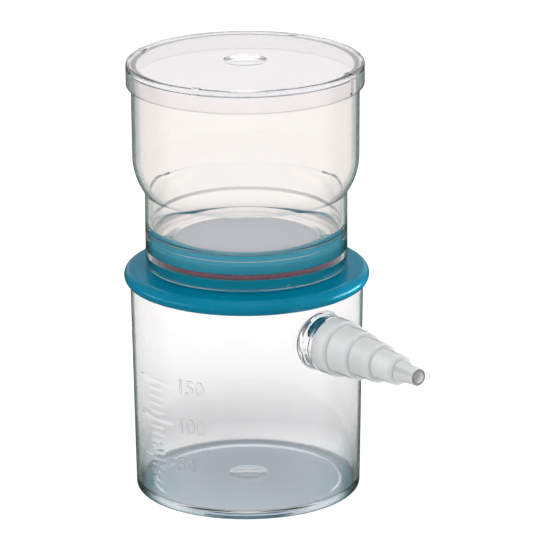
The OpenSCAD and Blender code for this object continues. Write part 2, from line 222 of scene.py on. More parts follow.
class LidSizes(bpy.types.PropertyGroup):
    radius: metres("Radius", "Outside radius of the lid", reach("lid", 1, 1))
    plate: size("Plate", "Thickness of the lid's plate", 1.8)
    wall: size("Skirt", "Thickness of the skirt", 1.25)
    round: size("Edge rounding", "Rounding of the top edge", 0.9)
    edge_round: size("Skirt rounding", "Rounding of the skirt's edge", 0.4)
    dimple_radius: size("Dimple radius", "Radius of the gate dimple", 7.2)
    dimple_depth: size("Dimple depth", "Depth of the gate dimple", 0.9)
    pad: size("Pad height", "Height of the vent pads", 0.4)
    pad_width: size("Pad width", "Width of a vent pad and its rib", 2.4)
    pads: whole("Pads", "Number of vent pads", 4)
    pad_angle: degrees("Pad direction", "Direction of the first vent pad", 26)
    rib: size("Rib", "How far a rib stands in from the skirt", 0.15)


class Finishes(bpy.types.PropertyGroup):
    jar: colour("Jar", "Tint of the jar's clear plastic", (0.975, 0.97, 0.975))
    # foot is painted shade: a deeper blue-grey on the jar's level faces, for the shaded floor seen
    # through the jar's floor.
    foot: colour("Jar's floor", "Tint of the jar's floor", (0.76, 0.89, 0.97))
    chamber: colour("Chamber", "Tint of the chamber's clear plastic", (0.945, 0.925, 0.91))
    lid: colour("Lid", "Tint of the lid's clear plastic", (0.925, 0.915, 0.935))
    # bead and bead_side are painted shade: a dark line painted over the neck's fillet; bead also
    # darkens the lid's dimple.
    bead: colour("Bead", "Tint of the bead over the neck's fillet", (0.44, 0.47, 0.47))
    bead_side: colour("Bead's side", "Tint of the bead seen aslant", (0.13, 0.15, 0.16))
    # dimple is painted shade on the near slope of the jar's gate dimple.
    dimple: colour("Dimple", "Tint of the near slope of the dimple in the jar's floor",
                   (0.28, 0.36, 0.38))
    # veil, near_edge, jar_edge, edge and inner_edge are painted shade: they darken clear skins where
    # they are seen aslant and near their outlines.
    veil: colour("Veil", "Tint of an outer skin seen aslant", (0.89, 0.88, 0.87))
    near_edge: colour("Near the edge", "Tint of an outer skin close to its outline",
                      (0.44, 0.5, 0.48))
    # low_veil and low_edge are painted shade: they darken the jar's wall towards its foot, most where
    # it is seen aslant.
    low_veil: colour("Foot veil", "Tint of the jar's wall near its foot, seen aslant",
                     (0.76, 0.88, 0.91))
    low_edge: colour("Foot edge", "Tint of the jar's wall near its foot, close to its outline",
                     (0.1, 0.2, 0.22))
    jar_edge: colour("Near the jar's edge", "Tint of the jar's outer skin close to its outline",
                     (0.85, 0.91, 0.89))
    edge: colour("Edge tint", "Tint of an outer skin seen along its surface", (0.08, 0.13, 0.11))
    # neck_side is painted shade: it greys the neck's inner skin where it is seen aslant.
    neck_side: colour("Neck's side", "Tint of the neck's inner skin seen aslant", (0.6, 0.66, 0.68))
    inner_edge: colour("Inner edge tint", "Tint of an inner skin seen along its surface",
                       (0.75, 0.8, 0.79))
    teal: colour("Collar", "Colour of the collar", (0.0, 0.2, 0.32))
    # The plug's next two colours are painted light: a brighter teal than the collar's, paler towards
    # the plug's top, for light that comes through the clear chamber.
    clamped: colour("Plug", "Colour of the collar's plug, pressed against clear plastic",
                    (0.005, 0.33, 0.48))
    clamped_top: colour("Plug's top", "Colour of the plug's top, pressed against clear plastic",
                        (0.09, 0.44, 0.58))
    ring: colour("O-ring", "Colour of the O-ring", (0.14, 0.012, 0.06))
    collar_gloss: amount("Collar's gloss", "Specular level of the collar", 0.04)
    rim_gloss: amount("Rim's gloss", "Specular level of the collar's rounded rim", 0.22)
    clamped_gloss: amount("Plug's gloss", "Specular level of the collar's plug", 0.0)
    membrane: colour("Membrane", "Colour of the membrane", (0.62, 0.66, 0.72))
    support: colour("Support plate", "Colour of the membrane's support plate", (0.85, 0.86, 0.86))
    jar_seal: colour("Jar's seal", "Colour of the flat seal on the jar's rim", (0.75, 0.75, 0.72))
    adapter: colour("Adapter", "Colour of the hose adapter", (0.9, 0.93, 0.92))
    # The next colour is painted shade: it darkens the adapter where it is seen aslant and on its top.
    adapter_rim: colour("Adapter's edges", "Colour of the hose adapter seen aslant",
                        (0.36, 0.38, 0.38))
    # The next colour is painted shade on the nozzle's end.
    adapter_tip: colour("Adapter's tip", "Colour of the hose adapter's tip", (0.3, 0.3, 0.3))
    fibre: colour("Fibre", "Colour of the fibre plug", (0.85, 0.84, 0.78))
    floor: colour("Floor", "Colour of the floor", (0.9, 0.9, 0.9))
    # Heights where the painted shade towards the jar's foot begins and is full.
    foot_start: size("Foot shade", "Height below which the jar's wall deepens in tint", 28.0)
    foot_full: size("Full foot shade", "Height below which that tint is full", 8.0)
    # Heights where the painted shade in the neck begins and is full.
    neck_start: size("Neck shade", "Height below which the neck's inner skin deepens in tint", 97.0)
    neck_full: size("Full neck shade", "Height below which that tint is full", 90.0)


class StageSettings(bpy.types.PropertyGroup):
    azimuth: degrees("Azimuth", "Camera's direction round the object", 51.3)
    elevation: degrees("Elevation", "Camera's height above the horizon", 17.6)
    roll: degrees("Roll", "Camera's tilt about its own axis", 0.34)
    distance: metres("Distance", "Camera's distance from its target", 1.478)
    target_height: metres("Target height", "Height the camera aims at", 0.0699)
    target_side: metres("Target side", "How far right of the axis the camera aims", 0.009)
    lens: amount("Lens", "Focal length in millimetres", 303.8)
    sky: amount("Sky", "Strength of the sky's even light", 0.5)
    mirrored: amount("Mirrored", "Brightness of the studio in reflections", 0.15)
    softbox: amount("Softbox", "Brightness of the softbox over the backdrop in reflections", 4.0)
    backdrop: amount("Backdrop", "Brightness of the backdrop in reflections", 0.7)
    floor_glow: amount("Floor glow", "Added brightness of the floor in view", 0.6)
    mirrored_floor: amount("Mirrored floor", "Brightness of the floor in reflections", 0.05)
    # The floor's brightness through clear plastic is a painted shadow: none under the foot, and less
    # beside the object than on the open floor.
    floor_near: amount("Floor at the foot", "Added brightness through clear plastic of the floor "
                       "close round the foot", 0.42)
    floor_beside: amount("Floor beside it", "Added brightness through clear plastic of the floor "
                         "beside the object", 0.2)
    floor_far: amount("Floor behind it", "Added brightness through clear plastic of the open floor",
                      0.46)
    shade: metres("Shade", "Radius at which the object's shade on the floor ends", 0.2)


GROUPS = {
    "jar": JarSizes, "marks": MarkSizes, "port": PortSizes, "adapter": AdapterSizes,
    "collar": CollarSizes, "chamber": ChamberSizes, "lid": LidSizes,
    "finishes": Finishes, "stage": StageSettings,
}


def settings(group):
    return getattr(bpy.context.scene, "filtration_" + group)


# ---- Turned shapes ----

def arc(centre_r, centre_z, radius, start, end, steps=6):
    """Points of an arc in a section, from angle start to angle end in degrees."""
    angles = [math.radians(start + (end - start) * i / steps) for i in range(steps + 1)]
    return [(centre_r + radius * math.cos(a), centre_z + radius * math.sin(a)) for a in angles]


def dimple_section(radius, depth, top, steps=12):
    """Points of a shallow spherical dimple, from its edge at height top to the axis."""
    ball = (radius ** 2 + depth ** 2) / (2 * depth)
    half = math.asin(radius / ball)
    centre = top - depth + ball
    angles = [half * (1 - i / steps) for i in range(steps + 1)]
    return [(ball * math.sin(a), centre - ball * math.cos(a)) for a in angles]


def smooth(piece, sharp=32.0):
    """Shades a piece smooth but for its sharp edges, with its wide faces flat up to their ends."""
    piece.data.validate()
    piece.data.shade_smooth()
    piece.data.set_sharp_from_angle(angle=math.radians(sharp))
    weighted = piece.modifiers.new("even normals", "WEIGHTED_NORMAL")
    weighted.keep_sharp = True
    keep_evaluated(piece)


def keep_evaluated(piece):
    """Replaces a piece's mesh by the result of its modifiers."""
    bpy.context.view_layer.update()
    evaluated = piece.evaluated_get(bpy.context.evaluated_depsgraph_get())
    mesh = bpy.data.meshes.new_from_object(evaluated)
    piece.modifiers.clear()
    old, piece.data = piece.data, mesh
    name = old.name
    bpy.data.meshes.remove(old)
    mesh.name = name


def in_scene(name, data):
    """A new object in the scene, of a mesh, a text, a light or a camera."""
    holder = bpy.data.objects.new(name, data)
    bpy.context.scene.collection.objects.link(holder)
    return holder


def finished(mesh, name, sharp=32.0):
    """A smooth object of a mesh."""
    piece = in_scene(name, mesh)
    smooth(piece, sharp)
    return piece


def ringed(name, rings, closed=False):
    """A piece with its faces between neighbouring rings of points; a ring can be a single point."""
    count = max(len(ring) for ring in rings)
    verts, rows = [], []
    for ring in rings:
        rows.append([len(verts) + j % len(ring) for j in range(count)])
        verts += ring
    if closed:
        rows.append(rows[0])
    faces = []
    for low, high in zip(rows, rows[1:]):
        for j in range(count):
            k = (j + 1) % count
            face = [low[j], low[k], high[k], high[j]]
            faces.append([v for n, v in enumerate(face) if v != face[n - 1]])
    mesh = bpy.data.meshes.new(name)
    mesh.from_pydata(verts, [], faces)
    mesh.update()
    return finished(mesh, name)


def turned(name, section, shift=None, segments=192):
    """A solid turned about +Z. The section's points are (radius, height), counter-clockwise with the
    radius to the right, and either end on the axis or close on themselves. shift(point, angle) moves
    a point in radius and height."""
    rings = []
    for i, (r, z) in enumerate(section):
        rings.append([])
        for a in [TURN * j / segments for j in range(segments)] if r else [0.0]:
            dr, dz = shift(i, a) if shift else (0.0, 0.0)
            rings[-1].append(((r + dr) * math.cos(a), (r + dr) * math.sin(a), z + dz))
    return ringed(name, rings, closed=section[0][0] != 0)


def mesh_of(soup, name):
    """A mesh of what a BMesh holds, which is freed."""
    mesh = bpy.data.meshes.new(name)
    soup.to_mesh(mesh)
    soup.free()
    return mesh


def cut_or_join(piece, tool, operation):
    """Applies a Boolean with tool, and takes the tool away."""
    step = piece.modifiers.new(operation.lower(), "BOOLEAN")
    step.object, step.operation, step.solver = tool, operation, "MANIFOLD"
    keep_evaluated(piece)
    bpy.data.objects.remove(tool)
    if not piece.data.polygons:
        raise RuntimeError(f"nothing is left of {piece.name} after its {operation.lower()}")


# ---- Materials ----

def new_material(name):
    material = bpy.data.materials.new(name)
    material.use_nodes = True
    return material, material.node_tree, material.node_tree.nodes["Principled BSDF"]


def feed(tree, node, inputs):
    """Gives a node's inputs their numbers, colours or other nodes' results."""
    for name, value in inputs.items():
        if isinstance(value, bpy.types.NodeSocket):
            tree.links.new(value, node.inputs[name])
        else:
            node.inputs[name].default_value = value


def add_node(tree, kind, inputs, result=0, **options):
    """Adds a node with its options and inputs, and gives back one of its results."""
    node = tree.nodes.new("ShaderNode" + kind)
    for option, value in options.items():
        setattr(node, option, value)
    feed(tree, node, inputs)
    return node.outputs[result]


def coordinate(tree, kind):
    return add_node(tree, "TexCoord", {}, kind)


def noise(tree, scale, detail=3.0, roughness=0.5):
    return add_node(tree, "TexNoise", {"Vector": coordinate(tree, "Object"), "Scale": scale,
                                       "Detail": detail, "Roughness": roughness}, "Fac")


def mapped(tree, source, start, end, low=0.0, high=1.0):
    """Maps start..end to low..high."""
    return add_node(tree, "MapRange", {"Value": source, "From Min": start, "From Max": end,
                                       "To Min": low, "To Max": high})


def spread(tree, source, low, high):
    """Maps a noise's middle range to low..high."""
    return mapped(tree, source, *MIDDLE, low, high)


def ramp(tree, source, stops, interpolation="LINEAR"):
    """A colour by a number: stops are pairs of a number and its colour."""
    node = tree.nodes.new("ShaderNodeValToRGB")
    node.color_ramp.interpolation = interpolation
    while len(node.color_ramp.elements) < len(stops):
        node.color_ramp.elements.new(0.5)
    for element, (position, rgb) in zip(node.color_ramp.elements, stops):
        element.position, element.color = position, (*rgb, 1.0)
    tree.links.new(source, node.inputs["Fac"])
    return node.outputs["Color"]


def shades(tree, source, dark, light):
    """A colour between dark and light, by a noise's middle range."""
    return ramp(tree, source, tuple(zip(MIDDLE, (dark, light))))


def turn_ramp(tree, turns):
    """A shade by how far a surface is turned away: turns are pairs of a turn and its shade."""
    return ramp(tree, add_node(tree, "LayerWeight", {"Blend": 0.5}, "Facing"), turns, "EASE")


def mixed(tree, kind, factor, first, second):
    """Two colours mixed in the given way; factor is a number or a result."""
    return add_node(tree, "Mix", {0: factor, 6: first, 7: second}, 2,
                    data_type="RGBA", blend_type=kind)


def along_z(tree, source, low, high):
    """0 to 1 as the Z of a position or normal goes from low to high."""
    height = add_node(tree, "SeparateXYZ", {0: coordinate(tree, source)}, "Z")
    return mapped(tree, height, low, high)


def bump(tree, source, strength, distance):
    return add_node(tree, "Bump", {"Height": source, "Strength": strength, "Distance": distance},
                    "Normal")


def scaled(rgb, factor):
    return tuple(min(1.0, c * factor) for c in rgb)


def halfway(first, second):
    return tuple((a + b) / 2 for a, b in zip(first, second))


def clear_plastic(name, tint, upright, tilted=None, low=None):
    """Moulded polystyrene: clear, with the faint waves of its flow into the mould. Its tint deepens
    where it is seen along its surface: partly the tint of the long way through a thick wall, partly
    painted shade for the dark that the wall bends and mirrors near its outline. Tilted faces can
    differ in how, and so can low ones, which take painted shade of their own: low = (where it starts,
    where it is full, stops)."""
    material, tree, shader = new_material(name)
    haze = shades(tree, noise(tree, scale=60.0), scaled(tint, 0.985), tint)
    shade = turn_ramp(tree, upright)
    if tilted:
        shade = mixed(tree, "MIX", along_z(tree, "Normal", 0.0, 0.5), shade, turn_ramp(tree, tilted))
    if low:
        start, full, stops = low
        shade = mixed(tree, "MIX", along_z(tree, "Object", start, full), shade, turn_ramp(tree, stops))
    feed(tree, shader, {
        "Base Color": mixed(tree, "MULTIPLY", 1.0, haze, shade),
        "Roughness": spread(tree, noise(tree, scale=240.0, detail=5.0), 0.012, 0.03),
        "Transmission Weight": 1.0, "IOR": POLYSTYRENE, "Specular IOR Level": 0.2,
        "Normal": bump(tree, noise(tree, scale=34.0, detail=1.0), 0.05, 0.6 * MM),
    })
    return material


def outer_skin(name, tint, near_edge, later=0.0, foot=False):
    """The outer skin of a clear shell, with painted shade near its outline, which can start later, and
    painted shade that can deepen it towards a foot."""
    looks = settings("finishes")
    upright = ((0.25, WHITE), (0.42, looks.veil), (0.6, looks.veil), (0.69 + later, near_edge),
               (0.79 + later, looks.edge))
    tilted = ((0.52, WHITE), (0.72, looks.veil), (0.84, halfway(near_edge, looks.veil)),
              (0.95, near_edge))
    # Painted shade that darkens the wall towards the foot, most where it is seen aslant.
    low = ((0.2, WHITE), (0.36, looks.low_veil), (0.57, looks.low_edge),
           (0.7, scaled(looks.edge, 0.5)))
    return clear_plastic(name, tint, upright, tilted,
                         (looks.foot_start, looks.foot_full, low) if foot else None)


def inner_skin(name, tint, neck=False):
    """The inner skin or a level face of a clear shell, with painted shade near its outline. Painted
    shade can deepen it in a neck.
    """
    looks = settings("finishes")
    # Painted shade that greys the neck's inner skin where it is seen aslant.
    aslant = ((0.42, WHITE), (0.58, looks.neck_side), (0.9, looks.neck_side))
    return clear_plastic(name, tint, ((0.8, WHITE), (0.95, looks.inner_edge)),
                         low=(looks.neck_start, looks.neck_full, aslant) if neck else None)


def bead_skin(name, tint):
    """The skin of the bead over the neck's fillet: a dark line, painted shade where the far wall is
    seen over it.
    """
    looks = settings("finishes")
    bead = clear_plastic(name, tint, ((0.0, looks.bead), (0.6, looks.bead_side)))
    tree, shader = bead.node_tree, bead.node_tree.nodes["Principled BSDF"]
    dark = shader.inputs["Base Color"].links[0].from_socket
    behind = add_node(tree, "NewGeometry", {}, "Backfacing")
    feed(tree, shader, {"Base Color": mixed(tree, "MIX", behind, dark, (*tint, 1.0))})
    return bead


def dimple_skin(name, tint, start, end):
    """The skin of a gate dimple, whose near slope is painted dark: painted shade."""
    return clear_plastic(name, WHITE, ((start, WHITE), (end, tint)))


def teal_plastic(name, teal, gloss, lit_fade=None):
    """Coloured polystyrene, with a fine orange-peel skin. A fade, given as (low, high, colour), paints
    light onto it: it turns paler from one height to another."""
    material, tree, shader = new_material(name)
    mottle = noise(tree, scale=90.0, detail=4.0)
    shade = shades(tree, mottle, scaled(teal, 0.9), scaled(teal, 1.08))
    if lit_fade:
        low, high, tint = lit_fade
        shade = mixed(tree, "MIX", along_z(tree, "Object", low, high), shade, (*tint, 1.0))
    feed(tree, shader, {
        "Base Color": shade,
        "Roughness": spread(tree, noise(tree, scale=500.0, detail=4.0), 0.17, 0.28),
        "IOR": POLYSTYRENE, "Specular IOR Level": gloss,
        "Normal": bump(tree, noise(tree, scale=900.0, detail=2.0), 0.05, 0.2 * MM),
    })
    return material


def adapter_plastic(name, white, rim):
    """Moulded polyethylene: white, slightly waxy, a little light showing through. It is painted darker
    where it is seen along its surface, on its top and on its steps' faces: painted shade."""
    material, tree, shader = new_material(name)
    grain = shades(tree, noise(tree, scale=140.0), scaled(WHITE, 0.96), WHITE)
    shade = turn_ramp(tree, ((0.26, scaled(white, 0.72)), (0.31, white), (0.68, white), (0.9, rim)))
    # Upward faces are painted darker: painted shade on the adapter's top.
    shade = mixed(tree, "MIX", along_z(tree, "Normal", 0.55, 1.6), shade, (*rim, 1.0))
    feed(tree, shader, {
        "Base Color": mixed(tree, "MULTIPLY", 1.0, grain, shade),
        "Roughness": spread(tree, noise(tree, scale=700.0, detail=4.0), 0.34, 0.46),
        "Specular IOR Level": 0.2,
        "Subsurface Weight": 0.9, "Subsurface Radius": (1.0, 0.95, 0.9), "Subsurface Scale": 4 * MM,
        "Normal": bump(tree, noise(tree, scale=1400.0), 0.08, 0.2 * MM),
    })
    return material


def rubber(name, rgb):
    material, tree, shader = new_material(name)
    mottle = noise(tree, scale=300.0, detail=4.0)
    feed(tree, shader, {
        "Base Color": shades(tree, mottle, scaled(rgb, 0.85), scaled(rgb, 1.1)),
        "Roughness": spread(tree, noise(tree, scale=900.0), 0.4, 0.55),
        "Normal": bump(tree, noise(tree, scale=2400.0, detail=2.0), 0.1, 0.1 * MM),
    })
    return material


def matt_film(name, rgb, grain, depth):
    """A matt, slightly grained surface, as of a membrane, a support plate or packed fibre."""
    material, tree, shader = new_material(name)
    specks = noise(tree, grain, detail=6.0, roughness=0.6)
    feed(tree, shader, {
        "Base Color": shades(tree, specks, scaled(rgb, 0.93), scaled(rgb, 1.02)),
        "Roughness": spread(tree, noise(tree, grain, detail=4.0), 0.65, 0.85),
        "Normal": bump(tree, specks, 0.25, depth),
    })
    return material


def in_dimple(radius, height):
    """Whether a face lies in a dimple of a radius round the axis, close below a height."""
    deepest = 2 * MM
    return lambda middle, normal: (math.hypot(middle.x, middle.y) < radius and normal.z > 0.5
                                   and abs(middle.z - height) < deepest)


def paint(piece, material, chosen):
    """Gives the faces for which chosen(middle, normal) is true another material."""
    piece.data.materials.append(material)
    index = len(piece.data.materials) - 1
    for face in piece.data.polygons:
        if chosen(face.center, face.normal):
            face.material_index = index


def faces_in(middle, normal):
    """Whether a face of a turned piece looks towards the axis."""
    return middle.x * normal.x + middle.y * normal.y < -0.3 * math.hypot(middle.x, middle.y)


def level(middle, normal):
    """Whether a face lies level."""
    return abs(normal.z) > 0.9


def dress(piece, material, body, slot, *nodes):
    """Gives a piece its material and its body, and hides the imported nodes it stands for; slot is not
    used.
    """
    piece.data.materials.clear()
    piece.data.materials.append(material)
    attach(piece, body)
    if nodes:
        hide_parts(*nodes)


def dress_shell(shell, skins, body, slot, node):
    """Dresses a clear shell in its outer skin, inner skin and level skin."""
    dress(shell, skins[0], body, slot, node)
    paint(shell, skins[1], faces_in)
    paint(shell, skins[2], level)


def redress_node(node, material):
    """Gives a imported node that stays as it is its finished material."""
    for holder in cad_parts[node].material_slots:
        holder.material = material


# ---- Receiver jar ----

def jar_radius(z):
    """Outside radius of the jar at a height."""
    jar = settings("jar")
    return jar.foot_radius + (jar.rim_radius - jar.foot_radius) * z / jar.height


def jar_floor_edge():
    """Height of the jar's floor where it meets the wall."""
    jar = settings("jar")
    return jar.foot_lift + jar.floor


def fill_height(millilitres):
    """Height of the liquid that a volume reaches in the jar, over its raised floor."""
    jar = settings("jar")
    taper = (jar.rim_radius - jar.foot_radius) / jar.height
    low = jar_radius(jar_floor_edge()) - jar.wall
    volume = millilitres * MILLILITRE + math.pi * low ** 2 * jar.floor_rise / 3
    return jar_floor_edge() + ((low ** 3 + 3 * taper * volume / math.pi) ** (1 / 3) - low) / taper


def mark_span(volume):
    """First and last angle of a mark."""
    marks = settings("marks")
    middle = jar_radius(fill_height((marks.first + marks.last) / 2))
    long = volume % marks.major == 0
    length = (marks.long if long else marks.short) / middle
    start = marks.angle - length * (marks.long_share if long else 0.5)
    return start, start + length


def jar_solid():
    """The jar without its port. Its marks are ridges raised from the wall's own surface."""
    jar, marks = settings("jar"), settings("marks")
    edge = jar_floor_edge()
    top = edge + jar.floor_rise
    recess = jar.foot_radius - jar.foot_round - jar.foot_ring
    low, mouth = jar_radius(edge) - jar.wall, jar.rim_radius - jar.wall
    lip = 0.3 * MM
    section = [(0, jar.foot_lift + jar.floor_rise),
               (recess - jar.foot_lift - lip, jar.foot_lift + lip / 8),
               (recess - jar.foot_lift, jar.foot_lift), (recess - lip, lip),
               (recess, 0.0), (recess + lip, 0.0)]
    section += arc(jar.foot_radius - jar.foot_round, jar.foot_round, jar.foot_round, -90, 0, 8)
    ridges = {}
    for volume in range(marks.first, marks.last + 1, marks.step):
        z = fill_height(volume)
        ridges[len(section) + 1] = ridges[len(section) + 2] = mark_span(volume)
        for dz in (-marks.width / 2, -marks.crown / 2, marks.crown / 2, marks.width / 2):
            section.append((jar_radius(z + dz), z + dz))
    section += arc(jar.rim_radius - jar.rim_round, jar.height - jar.rim_round, jar.rim_round, 0, 90)
    section += arc(mouth + jar.rim_round, jar.height - jar.rim_round, jar.rim_round, 90, 180)
    section += arc(low - jar.floor_fillet, edge + jar.floor_fillet, jar.floor_fillet, 0, -90)
    slope = jar.floor_rise / low
    dimple_top = top - slope * jar.dimple_radius
    section.append((jar.dimple_radius + lip, dimple_top - slope * lip))
    section += dimple_section(jar.dimple_radius, jar.dimple_depth, dimple_top)

    def shift(point, angle):
        span = ridges.get(point)
        inside = span and span[0] < marks.angle + turn_from(marks.angle, angle) < span[1]
        return (marks.proud if inside else 0.0, 0.0)

    return turned("receiver_jar_shell", section, shift=shift, segments=FINE)


def turn_from(start, angle):
    """The turn from one direction to another, from minus to plus half a turn."""
    return (angle - start + math.pi) % TURN - math.pi


def boss_solid():
    """The boss with its fillet, starting inside the jar's wall."""
    jar, port = settings("jar"), settings("port")
    fillet_edge, inmost, mouth = port.boss_radius + port.fillet, -0.5 * jar.wall, port.mouth - AIR
    soft, sunk = 0.5 * MM, 0.03 * MM
    on_wall = [(fillet_edge, inmost), (fillet_edge, -sunk)]
    for a in (math.radians(15 * i) for i in range(1, 7)):
        on_wall.append((port.boss_radius + port.fillet * (1 - math.sin(a)),
                        port.fillet * (1 - math.cos(a))))
    angles = [TURN * j / 96 for j in range(96)]
    rings = [[(jar_radius(port.axis_height) + inmost, 0.0, port.axis_height)]]
    for radius, offset in on_wall:
        ring = [(radius * math.cos(a), port.axis_height + radius * math.sin(a)) for a in angles]
        rings.append([(math.sqrt(jar_radius(z) ** 2 - y ** 2) + offset, y, z) for y, z in ring])
    for radius, x in arc(port.boss_radius - soft, mouth - soft, soft, 0, 90, 4):
        rings.append([(x, radius * math.cos(a), port.axis_height + radius * math.sin(a))
                      for a in angles])
    rings.append([(mouth, 0.0, port.axis_height)])
    return ringed("boss", rings)


def along_port(piece, height):
    """Turns a piece made along +Z to lie along +X at a height."""
    piece.data.transform(Matrix.Translation((0, 0, height)) @ Matrix.Rotation(math.pi / 2, 4, "Y"))


def socket_cutter():
    """What the socket and the air hole take out of the boss."""
    port = settings("port")
    inmost, bottom = 0.9 * settings("jar").foot_radius, port.mouth - port.socket_depth
    lead, out = 0.3 * MM, port.mouth + MM
    cutter = turned("socket", [
        (0, inmost), (port.hole_radius, inmost), (port.hole_radius, bottom),
        (port.socket_radius, bottom), (port.socket_radius, port.mouth - lead),
        (port.socket_radius + lead, port.mouth), (port.socket_radius + lead, out), (0, out),
    ], segments=96)
    along_port(cutter, port.axis_height)
    return cutter


class FILTRATION_OT_receiver_jar(bpy.types.Operator):
    """Builds the clear receiver jar with its graduations, foot ring and port"""
    bl_idname = "filtration.receiver_jar"
    bl_label = "Receiver jar"

    def execute(self, context):
        shell = jar_solid()
        cut_or_join(shell, boss_solid(), "UNION")
        cut_or_join(shell, socket_cutter(), "DIFFERENCE")
        smooth(shell)
        looks = settings("finishes")
        skins = (outer_skin("clear_jar", looks.jar, looks.jar_edge, later=0.03, foot=True),
                 inner_skin("clear_jar_inside", looks.jar),
                 inner_skin("clear_foot_level", looks.foot))
        # The level faces take the foot tint, painted shade for the shaded floor under the jar.
        dress_shell(shell, skins, "receiver", "clear_plastic", "receiver_jar")
        # The dimple's near slope is painted dark: painted shade.
        paint(shell, dimple_skin("jar_dimple", looks.dimple, start=0.68, end=0.74),
              in_dimple(settings("jar").dimple_radius, jar_floor_edge()))
        redress_node("jar_seal", rubber("seal_white", looks.jar_seal))
        return {"FINISHED"}


def number_on_jar(volume):
    """A moulded number beside its long mark, bent to the jar's wall."""
    marks = settings("marks")
    font = bpy.data.curves.new(f"number_{volume}", "FONT")
    font.body = str(volume)
    font.align_x, font.align_y = "LEFT", "CENTER"
    font.size = marks.digit * DIGIT_TO_FONT
    font.extrude = marks.proud / 2
    font.bevel_depth = 0.06 * MM
    font.offset = -0.05 * MM
    holder = in_scene(font.name, font)
    bpy.context.view_layer.update()
    mesh = bpy.data.meshes.new_from_object(holder)
    bpy.data.objects.remove(holder)
    soup = bmesh.new()
    soup.from_mesh(mesh)
    bmesh.ops.remove_doubles(soup, verts=soup.verts, dist=0.0001 * MM)
    long_edges = [e for e in soup.edges if e.calc_length() > 0.5 * MM]
    bmesh.ops.subdivide_edges(soup, edges=long_edges, cuts=2)
    bmesh.ops.triangulate(soup, faces=soup.faces)
    height, start = fill_height(volume), mark_span(volume)[1]
    middle = marks.proud / 2 + 0.04 * MM
    for v in soup.verts:
        z = height + v.co.y
        radius = jar_radius(z) + v.co.z + middle
        angle = start + (marks.digit_gap + v.co.x) / jar_radius(z)
        v.co = Vector((radius * math.cos(angle), radius * math.sin(angle), z))
    soup.to_mesh(mesh)
    soup.free()
    return finished(mesh, f"number_{volume}", 40.0)


class FILTRATION_OT_numbers(bpy.types.Operator):
    """Builds the numbers of the jar's graduations"""
    bl_idname = "filtration.numbers"
    bl_label = "Graduation numbers"

    def execute(self, context):
        marks = settings("marks")
        looks = settings("finishes")
        finish = outer_skin("clear_numbers", looks.jar, looks.jar_edge)
        for volume in range(marks.first, marks.last + 1, marks.step):
            if volume % marks.major == 0:
                dress(number_on_jar(volume), finish, "receiver", "clear_plastic")
        return {"FINISHED"}


# ---- Collar, seals and membrane ----

def ring_radius():
    """Radius of the O-ring's cord."""
    return (reach("chamber_seal", 1, 2) - reach("chamber_seal", 0, 2)) / 2


def plug_heights():
    """Heights of the collar's levels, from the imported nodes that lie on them."""
    collar = settings("collar")
    plate = reach("jar_seal", 1, 2) + collar.plate
    return {
        "seat": reach("jar_seal", 1, 2), "plate": plate,
        "bottom": settings("jar").height - collar.insert,
        "top": reach("membrane", 1, 2), "well": reach("membrane_support", 0, 2),
        "dish": reach("membrane_support", 0, 2) - collar.dish_depth,
        "under": reach("membrane_support", 0, 2) - collar.dish_depth - collar.plug_top,
        "ring": (reach("chamber_seal", 0, 2) + reach("chamber_seal", 1, 2)) / 2,
        "spout": reach("base_collar", 0, 2),
    }


def rounded(points, radii, steps=3):
    """A section with its corners rounded, by one radius for each point."""
    longest = 0.45  # share of a side that a rounding can take
    result = []
    for i, (p, r) in enumerate(zip(points, radii)):
        before, here, after = Vector(points[i - 1]), Vector(p), Vector(points[(i + 1) % len(points)])
        back, forth = before - here, after - here
        half = back.angle(forth, 0.0) / 2
        if r <= 0 or not math.radians(2) <= half <= math.radians(88):
            result.append(tuple(p))
            continue
        cut = min(r / math.tan(half), longest * back.length, longest * forth.length)
        a, b = here + back.normalized() * cut, here + forth.normalized() * cut
        for t in (k / steps for k in range(steps + 1)):
            point = a * (1 - t) ** 2 + here * 2 * t * (1 - t) + b * t ** 2
            result.append((point.x, point.y))
    return result


def collar_section():
    """The collar with its plug, groove, dish and spout, as one section that closes on itself."""
    collar, jar, z = settings("collar"), settings("jar"), plug_heights()
    edge = (z["plate"] - z["bottom"]) / 2
    groove_out = jar.rim_radius + collar.jar_clear
    skirt_out = jar_radius(z["bottom"]) - jar.wall - collar.jar_clear
    skirt_in = skirt_out - collar.skirt
    floor_r = reach("chamber_seal", 1, 0) - 2 * ring_radius() - collar.ring_clear
    plug_in = floor_r - collar.plug_wall
    well = reach("membrane_support", 1, 0) + collar.well_clear
    lip = math.sqrt(edge ** 2 - (groove_out - collar.radius + edge) ** 2)
    groove = ring_radius() + collar.ring_play
    start = -math.degrees(math.asin(lip / edge))
    corners = [
        (collar.spout_bore, z["spout"]), (collar.spout_radius, z["spout"]),
        (collar.spout_radius, z["under"]), (plug_in, z["under"]), (plug_in, z["seat"]),
        (skirt_in, z["seat"]), (skirt_in, z["bottom"]), (skirt_out, z["bottom"]),
        (skirt_out, z["seat"]), (groove_out, z["seat"]),
    ]
    upper = [
        (collar.plug_radius, z["plate"]), (collar.plug_radius, z["ring"] - groove),
        (floor_r, z["ring"] - groove), (floor_r, z["ring"] + groove),
        (collar.plug_radius, z["ring"] + groove), (collar.plug_radius, z["top"]),
        (well, z["top"]), (well, z["well"]), (well - collar.dish_seat, z["well"]),
        (well - collar.dish_seat, z["dish"]), (collar.spout_bore, z["dish"]),
    ]
    rim = arc(collar.radius - edge, z["bottom"] + edge, edge, start, 90, 20)
    soft = 0.2 * MM
    return rounded(corners + rim + upper,
                   [soft] * len(corners) + [0] * len(rim) + [soft] * len(upper))


